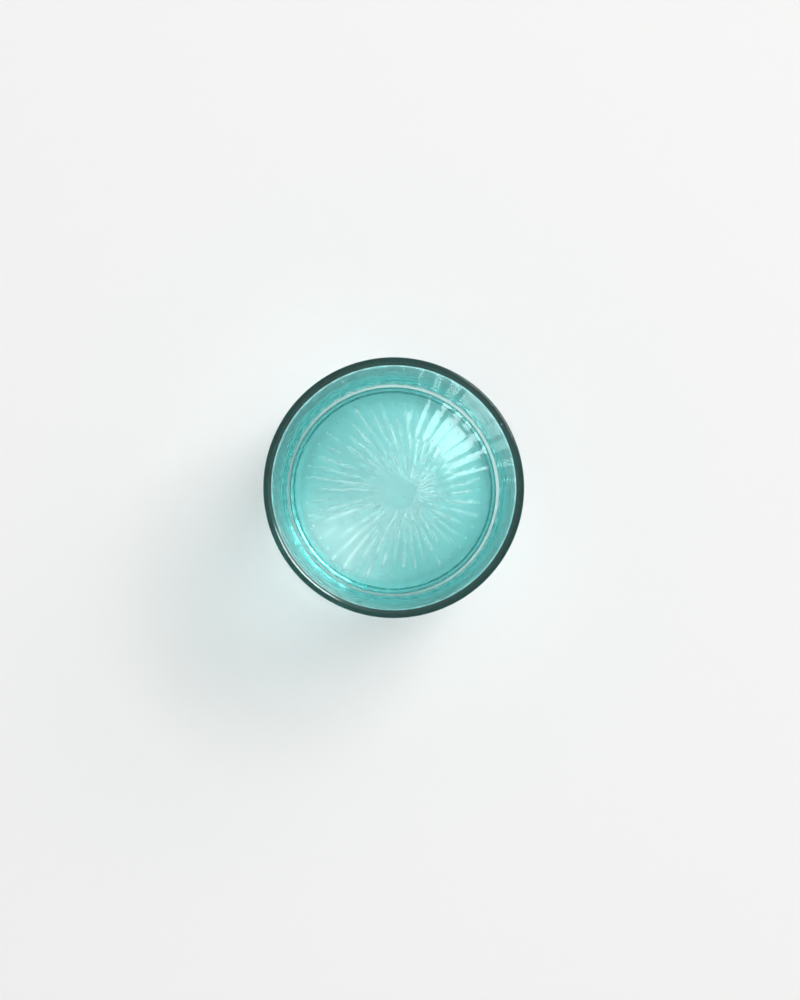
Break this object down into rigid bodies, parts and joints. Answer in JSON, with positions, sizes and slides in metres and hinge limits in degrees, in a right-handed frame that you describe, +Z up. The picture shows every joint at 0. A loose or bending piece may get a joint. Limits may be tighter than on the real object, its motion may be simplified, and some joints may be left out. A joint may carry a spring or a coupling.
{
  "type": "drinking glass",
  "caption": "Straight tumbler of clear teal glass with a rounded lip, upright ribs, a slanted heel, a narrow foot ring and a domed floor with rays beneath it.",
  "frame": {"origin": "on the glass's axis, in the plane of the foot ring that it stands on", "axes": "+Z up along the axis, +Y towards the top of the picture, which looks straight down into the glass, +X to its right"},
  "size_m": [0.08, 0.08, 0.092],
  "materials": {
    "teal_glass": "clear and polished"
  },
  "bodies": {
    "root": {"drinking_lip": "teal_glass", "ribbed_wall": "teal_glass", "heel": "teal_glass", "foot_ring": "teal_glass", "rayed_floor": "teal_glass"}
  },
  "joints": []
}
